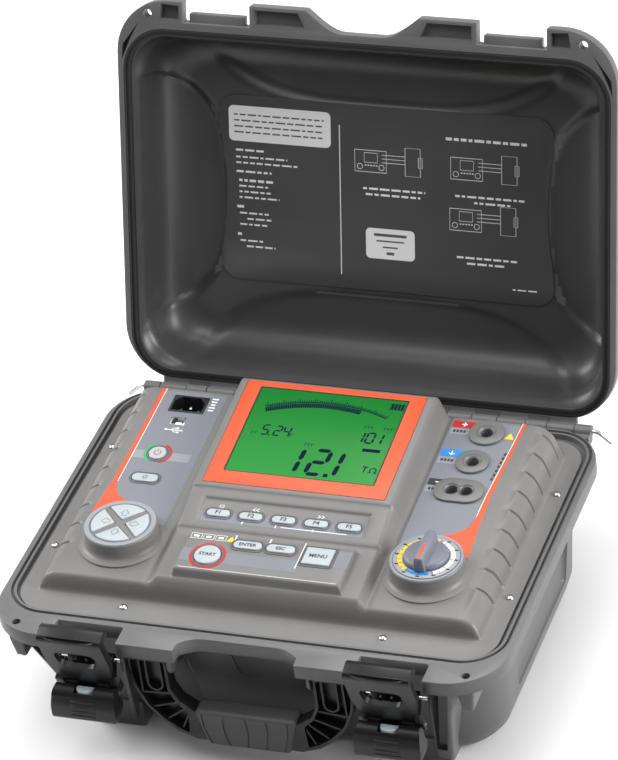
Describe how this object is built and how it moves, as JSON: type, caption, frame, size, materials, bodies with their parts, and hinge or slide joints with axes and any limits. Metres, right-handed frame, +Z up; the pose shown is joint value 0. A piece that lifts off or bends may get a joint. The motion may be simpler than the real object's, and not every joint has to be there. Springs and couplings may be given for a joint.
{
  "type": "insulation resistance tester",
  "caption": "Portable high-voltage insulation resistance tester: hinged carrying case with latches, handle and a sloped control panel with display, keys, rotary switch and sockets.",
  "frame": {"origin": "centre of the flat underside of the case base, below the middle of the panel", "axes": "+X to the right of the control panel, +Y to the hinged rear, -Y to the latches and handle, +Z up"},
  "size_m": [0.39, 0.4629, 0.4007],
  "materials": {
    "case_grey": "fine moulded texture",
    "panel_grey": "satin",
    "latch_black": "satin",
    "grip_grey": "matt",
    "rubber_black": "matt",
    "steel": "bright",
    "key_grey": "satin",
    "bezel_orange": "satin",
    "screen_green": "gloss",
    "window_clear": "clear",
    "socket_grey": "semi gloss",
    "inlet_black": "semi gloss",
    "dial_light": "satin",
    "knob_dark": "satin",
    "board_green": "solder mask",
    "module_grey": "satin",
    "cell_blue": "shrink wrap",
    "plate_dark": "printed"
  },
  "bodies": {
    "case": {"base_shell": "case_grey", "panel_fascia": "panel_grey", "display_bezel": "bezel_orange", "display_window": "window_clear", "display_module": "screen_green", "dial_scale": "dial_light", "rotary_switch": "module_grey", "socket_positive": "socket_grey", "socket_guard": "socket_grey", "socket_negative": "socket_grey", "mains_inlet": "inlet_black", "usb_socket": "key_grey", "main_board": "board_green", "keypad_board": "board_green", "high_voltage_module": "module_grey", "battery_pack": "cell_blue", "hinge_pin_left": "steel", "hinge_pin_right": "steel", "handle_pin_left": "steel", "handle_pin_right": "steel", "latch_pivot_pin_left": "steel", "latch_pivot_pin_right": "steel", "panel_screw_1": "steel", "panel_screw_2": "steel", "panel_screw_3": "steel", "panel_screw_4": "steel", "panel_screw_5": "steel", "panel_screw_6": "steel"},
    "lid": {"lid_shell": "case_grey", "lid_gasket": "rubber_black", "lid_info_plate": "plate_dark"},
    "lever_left": {"latch_lever_left": "latch_black", "latch_claw_pin_left": "steel"},
    "lever_right": {"latch_lever_right": "latch_black", "latch_claw_pin_right": "steel"},
    "claw_left": {"latch_claw_left": "latch_black"},
    "claw_right": {"latch_claw_right": "latch_black"},
    "release_left": {"latch_button_left": "key_grey"},
    "release_right": {"latch_button_right": "key_grey"},
    "handle": {"handle_bail": "latch_black", "handle_grip": "grip_grey"},
    "knob": {"rotary_knob": "knob_dark"},
    "key_power": {"key_power": "key_grey"},
    "key_backlight": {"key_backlight": "key_grey"},
    "key_start": {"key_start": "key_grey"},
    "key_enter": {"key_enter": "key_grey"},
    "key_escape": {"key_escape": "key_grey"},
    "key_menu": {"key_menu": "key_grey"},
    "key_function_1": {"key_function_1": "key_grey"},
    "key_function_2": {"key_function_2": "key_grey"},
    "key_function_3": {"key_function_3": "key_grey"},
    "key_function_4": {"key_function_4": "key_grey"},
    "key_function_5": {"key_function_5": "key_grey"},
    "key_arrow_right": {"key_arrow_right": "key_grey"},
    "key_arrow_up": {"key_arrow_up": "key_grey"},
    "key_arrow_left": {"key_arrow_left": "key_grey"},
    "key_arrow_down": {"key_arrow_down": "key_grey"}
  },
  "joints": [
    {"name": "lid_hinge", "type": "hinge", "parent": "case", "child": "lid", "pos_m": [0, 0.1487, 0.111], "axis": [1, 0, 0], "range_deg": [0, 107.5]},
    {"name": "latch_lever_left", "type": "hinge", "parent": "case", "child": "lever_left", "pos_m": [-0.115, -0.144, 0.089], "axis": [1, 0, 0], "range_deg": [-55, 0]},
    {"name": "latch_claw_left", "type": "hinge", "parent": "lever_left", "child": "claw_left", "pos_m": [-0.115, -0.155, 0.075], "axis": [-1, 0, 0], "range_deg": [0, 20]},
    {"name": "latch_release_left", "type": "slide", "parent": "lever_left", "child": "release_left", "axis": [0, 0, 1], "range_m": [0, 0.002], "stiffness_N_per_m": 300, "springref_m": -0.0005},
    {"name": "latch_lever_right", "type": "hinge", "parent": "case", "child": "lever_right", "pos_m": [0.115, -0.144, 0.089], "axis": [1, 0, 0], "range_deg": [-55, 0]},
    {"name": "latch_claw_right", "type": "hinge", "parent": "lever_right", "child": "claw_right", "pos_m": [0.115, -0.155, 0.075], "axis": [-1, 0, 0], "range_deg": [0, 20]},
    {"name": "latch_release_right", "type": "slide", "parent": "lever_right", "child": "release_right", "axis": [0, 0, 1], "range_m": [0, 0.002], "stiffness_N_per_m": 300, "springref_m": -0.0005},
    {"name": "handle_swing", "type": "hinge", "parent": "case", "child": "handle", "pos_m": [0, -0.144, 0.0935], "axis": [-1, 0, 0], "range_deg": [0, 90]},
    {"name": "knob_turn", "type": "hinge", "parent": "case", "child": "knob", "pos_m": [0.117, -0.0583, 0.1445], "axis": [0, 0, 1], "range_deg": [-150, 180]},
    {"name": "key_power_press", "type": "slide", "parent": "case", "child": "key_power", "axis": [0, 0.0748, -0.9972], "range_m": [0, 0.0012], "stiffness_N_per_m": 600, "springref_m": -0.0005},
    {"name": "key_backlight_press", "type": "slide", "parent": "case", "child": "key_backlight", "axis": [0, 0.0748, -0.9972], "range_m": [0, 0.0012], "stiffness_N_per_m": 600, "springref_m": -0.0005},
    {"name": "key_start_press", "type": "slide", "parent": "case", "child": "key_start", "axis": [0, 0.0529, -0.9986], "range_m": [0, 0.0012], "stiffness_N_per_m": 600, "springref_m": -0.0005},
    {"name": "key_enter_press", "type": "slide", "parent": "case", "child": "key_enter", "axis": [0, 0.0529, -0.9986], "range_m": [0, 0.0012], "stiffness_N_per_m": 600, "springref_m": -0.0005},
    {"name": "key_escape_press", "type": "slide", "parent": "case", "child": "key_escape", "axis": [0, 0.0529, -0.9986], "range_m": [0, 0.0012], "stiffness_N_per_m": 600, "springref_m": -0.0005},
    {"name": "key_menu_press", "type": "slide", "parent": "case", "child": "key_menu", "axis": [0, 0.0529, -0.9986], "range_m": [0, 0.0012], "stiffness_N_per_m": 600, "springref_m": -0.0005},
    {"name": "key_function_1_press", "type": "slide", "parent": "case", "child": "key_function_1", "axis": [0, 0.124, -0.9923], "range_m": [0, 0.0012], "stiffness_N_per_m": 600, "springref_m": -0.0005},
    {"name": "key_function_2_press", "type": "slide", "parent": "case", "child": "key_function_2", "axis": [0, 0.124, -0.9923], "range_m": [0, 0.0012], "stiffness_N_per_m": 600, "springref_m": -0.0005},
    {"name": "key_function_3_press", "type": "slide", "parent": "case", "child": "key_function_3", "axis": [0, 0.124, -0.9923], "range_m": [0, 0.0012], "stiffness_N_per_m": 600, "springref_m": -0.0005},
    {"name": "key_function_4_press", "type": "slide", "parent": "case", "child": "key_function_4", "axis": [0, 0.124, -0.9923], "range_m": [0, 0.0012], "stiffness_N_per_m": 600, "springref_m": -0.0005},
    {"name": "key_function_5_press", "type": "slide", "parent": "case", "child": "key_function_5", "axis": [0, 0.124, -0.9923], "range_m": [0, 0.0012], "stiffness_N_per_m": 600, "springref_m": -0.0005},
    {"name": "key_arrow_right_press", "type": "slide", "parent": "case", "child": "key_arrow_right", "axis": [0, 0, -1], "range_m": [0, 0.0012], "stiffness_N_per_m": 600, "springref_m": -0.0005},
    {"name": "key_arrow_up_press", "type": "slide", "parent": "case", "child": "key_arrow_up", "axis": [0, 0, -1], "range_m": [0, 0.0012], "stiffness_N_per_m": 600, "springref_m": -0.0005},
    {"name": "key_arrow_left_press", "type": "slide", "parent": "case", "child": "key_arrow_left", "axis": [0, 0, -1], "range_m": [0, 0.0012], "stiffness_N_per_m": 600, "springref_m": -0.0005},
    {"name": "key_arrow_down_press", "type": "slide", "parent": "case", "child": "key_arrow_down", "axis": [0, 0, -1], "range_m": [0, 0.0012], "stiffness_N_per_m": 600, "springref_m": -0.0005}
  ]
}
